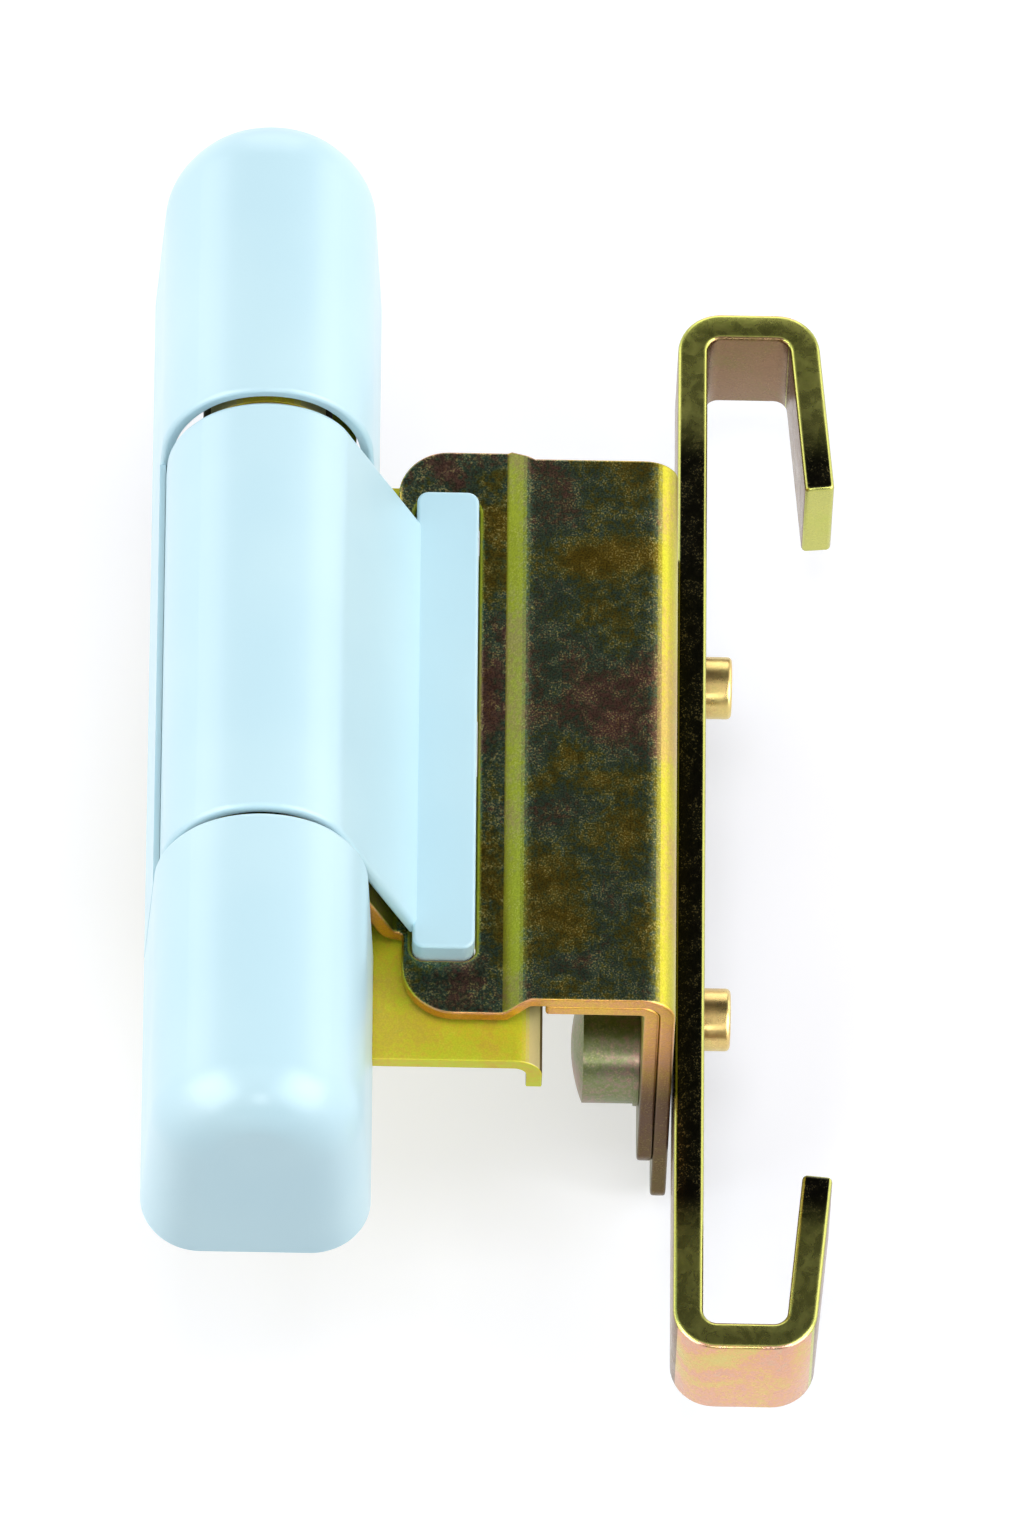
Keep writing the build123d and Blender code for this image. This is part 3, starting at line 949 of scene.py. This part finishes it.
@dataclass
class Bracket:
    """The bent strip with its two hooks, swept along its own centre line."""

    strip: float = 3.0 * MM
    depth: float = 12.7 * MM
    front: float = 32.7 * MM
    left: float = 41.6 * MM
    root: float = 55.6 * MM
    half: float = 59.5 * MM
    arms: tuple[float, float] = (20.3 * MM, 19.6 * MM)
    flare_deg: float = 5.3
    bend: float = 1.4 * MM
    edge: float = 0.5 * MM
    edge_steps: int = 4
    bend_steps: int = 10
    end_steps: int = 3
    crease_deg: float = 60.0

    def centre_line(self) -> list[Vector]:
        """Lay out the strip's centre line.

        Returns:
            Its corners, from the upper hook's tip to the lower one's.
        """
        y = PIN_Y + self.front + self.depth / 2
        inset = self.strip / 2
        flare = math.radians(self.flare_deg)
        corner = self.root - inset * (1 - math.sin(flare)) / math.cos(flare)
        line = [Vector((x, y, self.half - inset)) for x in (self.left + inset, corner)]
        tips = [Vector((
            self.root + arm * math.tan(flare) - inset * math.cos(flare), y,
            self.half - arm - inset * math.sin(flare))) for arm in self.arms]
        below = [Vector((p.x, p.y, -p.z)) for p in (*line, tips[1])]
        return [tips[0], line[1], line[0], *below]

    def build(self, finishes: Finishes) -> None:
        """Sweep, round and dress the strip.

        Args:
            finishes: The made finishes.
        """
        growth = Growth("strip_sweep", {
            "Strip": self.strip, "Depth": self.depth, "Bend": self.bend + self.strip / 2,
            "Edge": self.edge, "Bend Steps": self.bend_steps, "Edge Steps": self.edge_steps})
        knobs = growth.inputs
        path = growth.step("GeometryNodeMeshToCurve", {}, {"Mesh": knobs["Geometry"]})
        bent = growth.step("GeometryNodeFilletCurve", {"mode": "POLY"}, {
            "Curve": path, "Radius": knobs["Bend"], "Count": knobs["Bend Steps"]})
        sheet = growth.step("GeometryNodeCurvePrimitiveQuadrilateral", {"mode": "RECTANGLE"}, {
            "Width": knobs["Depth"], "Height": knobs["Strip"]})
        section = growth.step("GeometryNodeFilletCurve", {"mode": "POLY"}, {
            "Curve": sheet, "Radius": knobs["Edge"], "Count": knobs["Edge Steps"]})
        swept = growth.step("GeometryNodeCurveToMesh", {}, {
            "Curve": bent, "Profile Curve": section, "Fill Caps": True})
        growth.close(swept, finishes.made[Slot.STRIP])
        carrier = growth.run(self.centre_line(), "strip_path")
        ends = carrier.modifiers.new("ends", "BEVEL")
        ends.width = self.edge
        ends.segments = self.end_steps
        ends.angle_limit = math.radians(self.crease_deg)
        ends.harden_normals = True
        piece = settle(carrier, "hook_bracket_strip", finishes.made[Slot.STRIP])
        mark_faces(piece, hollow=True)
        place_piece(piece, "sash_side", ("hook_bracket",))


@dataclass
class Studs:
    """The two studs, turned from one outline and set at their places."""

    y: float = 38.6 * MM
    spread: float = 38.2 * MM
    shank_left: float = 33.55 * MM
    head_left: float = 44.6 * MM
    head_right: float = 47.3 * MM
    shank: float = 2.5 * MM
    head: float = 3.15 * MM
    edge: float = 0.5 * MM
    lap: float = 0.01 * MM
    crease_deg: float = 40.0
    round_steps: int = 5
    ring_steps: int = 64

    def outline(self) -> tuple[list[float], list[float]]:
        """Lay out a stud's profile, with a rounded rim on its head.

        Returns:
            Stations along the stud's axis and the radius at each.
        """
        turns = [math.pi / 2 * step / self.round_steps for step in range(self.round_steps + 1)]
        round_x = [self.head_right - self.edge + self.edge * math.sin(turn) for turn in turns]
        round_r = [self.head - self.edge + self.edge * math.cos(turn) for turn in turns]
        return ([self.shank_left, self.head_left - self.lap, self.head_left, *round_x],
                [self.shank, self.shank, self.head, *round_r])

    def build(self, finishes: Finishes) -> None:
        """Turn, place and dress the studs.

        Args:
            finishes: The made finishes.
        """
        growth = Growth("studs_turned", {
            "Depth": PIN_Y + self.y, "Spread": self.spread, "Steps": self.ring_steps})
        knobs = growth.inputs
        path = growth.step("GeometryNodeMeshToCurve", {}, {"Mesh": knobs["Geometry"]})
        radius = growth.graph.add(
            "GeometryNodeInputNamedAttribute", {"data_type": "FLOAT"}, {"Name": RADIUS}).outputs[0]
        ring = growth.step("GeometryNodeCurvePrimitiveCircle", {"mode": "RADIUS"}, {
            "Resolution": knobs["Steps"], "Radius": 1.0})
        turned = growth.step("GeometryNodeCurveToMesh", {}, {
            "Curve": path, "Profile Curve": ring, "Scale": radius, "Fill Caps": True})
        start = growth.step("ShaderNodeCombineXYZ", {}, {
            "Y": knobs["Depth"], "Z": Signal(growth.graph, knobs["Spread"]) * -0.5})
        stride = growth.step("ShaderNodeCombineXYZ", {}, {"Z": knobs["Spread"]})
        places = growth.step("GeometryNodeMeshLine", {"mode": "OFFSET"}, {
            "Count": 2, "Start Location": start, "Offset": stride})
        placed = growth.step(
            "GeometryNodeInstanceOnPoints", {}, {"Points": places, "Instance": turned})
        growth.close(placed, finishes.made[Slot.STUDS])
        stations, radii = self.outline()
        carrier = growth.run([Vector((x, 0.0, 0.0)) for x in stations], "stud_axis", radii)
        piece = settle(carrier, "studs_turned", finishes.made[Slot.STUDS])
        piece.data.set_sharp_from_angle(angle=math.radians(self.crease_deg))
        place_piece(piece, "sash_side", ("upper_stud", "lower_stud"))


@dataclass
class Fittings:
    """Bushes, washers, pin and screws that keep the frame's own shape."""

    paired: tuple[tuple[str, Slot], ...] = (
        ("eccentric", Slot.BUSH), ("sash_bush", Slot.BEARING), ("frame_bush", Slot.BEARING),
        ("thrust_washer", Slot.STEEL))
    single: tuple[tuple[str, Slot], ...] = (
        ("hinge_pin", Slot.STEEL), ("height_screw", Slot.STEEL), ("pin_grub", Slot.STEEL),
        ("height_bush", Slot.BRASS))

    def build(self, finishes: Finishes) -> None:
        """Dress the fittings.

        Args:
            finishes: The made finishes.
        """
        for end in ("upper", "lower"):
            for name, slot in self.paired:
                finishes.dress_node(f"{end}_{name}", slot)
        for name, slot in self.single:
            finishes.dress_node(name, slot)


@dataclass(frozen=True)
class Lamp:
    """Soft square lamp that faces the hinge; metres and watts."""

    name: str
    toward: tuple[float, float, float]
    distance: float
    size: float
    power: float
    glossy: bool = True
    diffuse: bool = True

    def hang(self, aim: Vector) -> None:
        """Add the lamp.

        Args:
            aim: The point that it faces.
        """
        light = bpy.data.lights.new(self.name, "AREA")
        light.shape = "SQUARE"
        light.size = self.size
        light.energy = self.power
        obj = bpy.data.objects.new(self.name, light)
        direction = Vector(self.toward).normalized()
        obj.location = aim + direction * self.distance
        obj.rotation_euler = direction.to_track_quat("Z", "Y").to_euler()
        obj.visible_glossy = self.glossy
        obj.visible_diffuse = self.diffuse
        bpy.context.scene.collection.objects.link(obj)


LAMPS = (
    Lamp("low_left", (-0.8, -0.46, -0.38), 0.8, 0.24, 1.2, glossy=False),
    Lamp("low_right", (0.8, -0.46, -0.38), 0.8, 0.24, 1.7, glossy=False),
    Lamp("glint_left", (-0.86, -0.34, -0.46), 0.8, 0.85, 9.5, diffuse=False),
    Lamp("glint_right", (0.78, -0.42, -0.46), 0.8, 0.85, 9.5, diffuse=False),
    Lamp("key", (0.0, -0.97, -0.14), 0.9, 0.3, 1.62, glossy=False),
    Lamp("low_rim", (0.0, -0.5, -0.87), 0.7, 0.1, 0.5),
    Lamp("high_left", (-0.88, -0.2, 0.42), 0.8, 0.5, 1.0),
    Lamp("high_right", (0.88, -0.2, 0.42), 0.8, 0.5, 1.0),
    Lamp("overhead", (0.0, -0.35, 0.94), 0.8, 0.6, 1.8),
)


@dataclass
class Studio:
    """Table, soft lights, surroundings and camera."""

    table_y: float = 37.9 * MM
    table_half: float = 1.5
    azimuth_deg: float = -1.006
    pitch_deg: float = 29.591
    roll_deg: float = 0.522
    aim: tuple[float, float, float] = (25.034 * MM, 0.9 * MM, -0.961 * MM)
    distance: float = 2.5
    lens: float = 589.0
    sensor: float = 36.0
    table_paint: Colour = (0.7, 0.715, 0.77)
    table_glow: Colour = (0.97, 0.97, 1.0)
    glow_strength: float = 0.4
    wall: Colour = (0.85, 0.85, 0.85)
    floor: Colour = (0.13, 0.16, 0.17)
    dim_wall: Colour = (0.04, 0.04, 0.042)
    floor_reach: tuple[float, float] = (0.3, 0.9)
    dim_toward: tuple[float, float, float] = (0.0, -0.866, 0.5)
    dim_reach: tuple[float, float] = (0.62, 0.97)
    clip: tuple[float, float] = (0.05, 50.0)
    lamps: tuple[Lamp, ...] = LAMPS

    def build(self) -> None:
        """Set up the table, the lights, the surroundings and the camera."""
        self._table()
        for lamp in self.lamps:
            lamp.hang(Vector(self.aim))
        self._surroundings()
        self._camera()

    def _table(self) -> None:
        """Pale plane behind the hinge that takes its shadow and isn't seen from behind."""
        mesh = bpy.data.meshes.new("table")
        half, y = self.table_half, self.table_y
        mesh.from_pydata([(-half, y, -half), (half, y, -half), (half, y, half), (-half, y, half)],
                         [], [(0, 1, 2, 3)])
        material = bpy.data.materials.new("pale_table")
        material.use_nodes = True
        graph = Graph(material.node_tree)
        path = graph.add("ShaderNodeLightPath")
        seen = (Signal(graph, path.outputs["Is Camera Ray"]) + path.outputs["Is Glossy Ray"]
                + path.outputs["Is Transmission Ray"])
        behind = Signal(graph, graph.add("ShaderNodeNewGeometry").outputs["Backfacing"])
        paint = graph.add("ShaderNodeBsdfDiffuse", {}, {"Color": self.table_paint})
        glow = graph.add(
            "ShaderNodeEmission", {}, {"Color": self.table_glow, "Strength": self.glow_strength})
        lit = graph.add("ShaderNodeAddShader", {}, {0: paint.outputs[0], 1: glow.outputs[0]})
        clear = graph.add("ShaderNodeBsdfTransparent")
        shown = seen * (1 - behind)
        shader = graph.add(
            "ShaderNodeMixShader", {}, {0: shown, 1: clear.outputs[0], 2: lit.outputs[0]})
        close_material(graph, shader)
        mesh.materials.append(material)
        table = bpy.data.objects.new("table", mesh)
        bpy.context.scene.collection.objects.link(table)

    def _surroundings(self) -> None:
        """Pale room with one dim wall, high in front of the hinge."""
        world = bpy.data.worlds.new("room")
        bpy.context.scene.world = world
        world.use_nodes = True
        graph = Graph(world.node_tree)
        toward = graph.add("ShaderNodeTexCoord").outputs["Generated"]
        facing, below = (
            graph.signal(
                "ShaderNodeVectorMath", {"operation": "DOT_PRODUCT"}, {0: toward, 1: way}, "Value")
            for way in (self.dim_toward, (0.0, 0.0, -1.0)))
        walls = graph.blend(below.between(*self.floor_reach), self.wall, self.floor)
        room = graph.blend(facing.between(*self.dim_reach), walls, self.dim_wall)
        seen = graph.add("ShaderNodeLightPath").outputs["Is Camera Ray"]
        colour = graph.blend(seen, room, (1.0, 1.0, 1.0))
        background = graph.add("ShaderNodeBackground", {}, {"Color": colour, "Strength": 1.0})
        output = graph.add("ShaderNodeOutputWorld")
        graph.tree.links.new(background.outputs[0], output.inputs["Surface"])

    def _camera(self) -> None:
        """Long lens that looks at the hinge from the front and below."""
        azimuth, pitch, roll = (
            math.radians(angle) for angle in (self.azimuth_deg, self.pitch_deg, self.roll_deg))
        ahead = Vector((-math.sin(azimuth) * math.cos(pitch), math.cos(azimuth) * math.cos(pitch),
                        math.sin(pitch)))
        right = Vector((math.cos(azimuth), math.sin(azimuth), 0.0))
        up = right.cross(ahead)
        tilted_right = right * math.cos(roll) + up * math.sin(roll)
        tilted_up = up * math.cos(roll) - right * math.sin(roll)
        turn = Matrix((tilted_right, tilted_up, -ahead)).transposed()
        data = bpy.data.cameras.new("camera")
        data.sensor_width = self.sensor
        data.lens = self.lens
        data.clip_start, data.clip_end = self.clip
        camera = bpy.data.objects.new("camera", data)
        eye = Vector(self.aim) - ahead * self.distance
        camera.matrix_world = Matrix.Translation(eye) @ turn.to_4x4()
        bpy.context.scene.collection.objects.link(camera)
        bpy.context.scene.camera = camera


def main() -> None:
    """Build and dress every sub-assembly in order."""
    logging.basicConfig(level=logging.INFO, format="%(message)s")
    bpy.context.scene.view_settings.view_transform = "Standard"
    finishes = Finishes.prepare()
    for part in (Covers(), Sheets(), Bracket(), Studs(), Fittings()):
        part.build(finishes)
    Studio().build()
    bpy.context.view_layer.update()


if __name__ == "__main__":
    main()
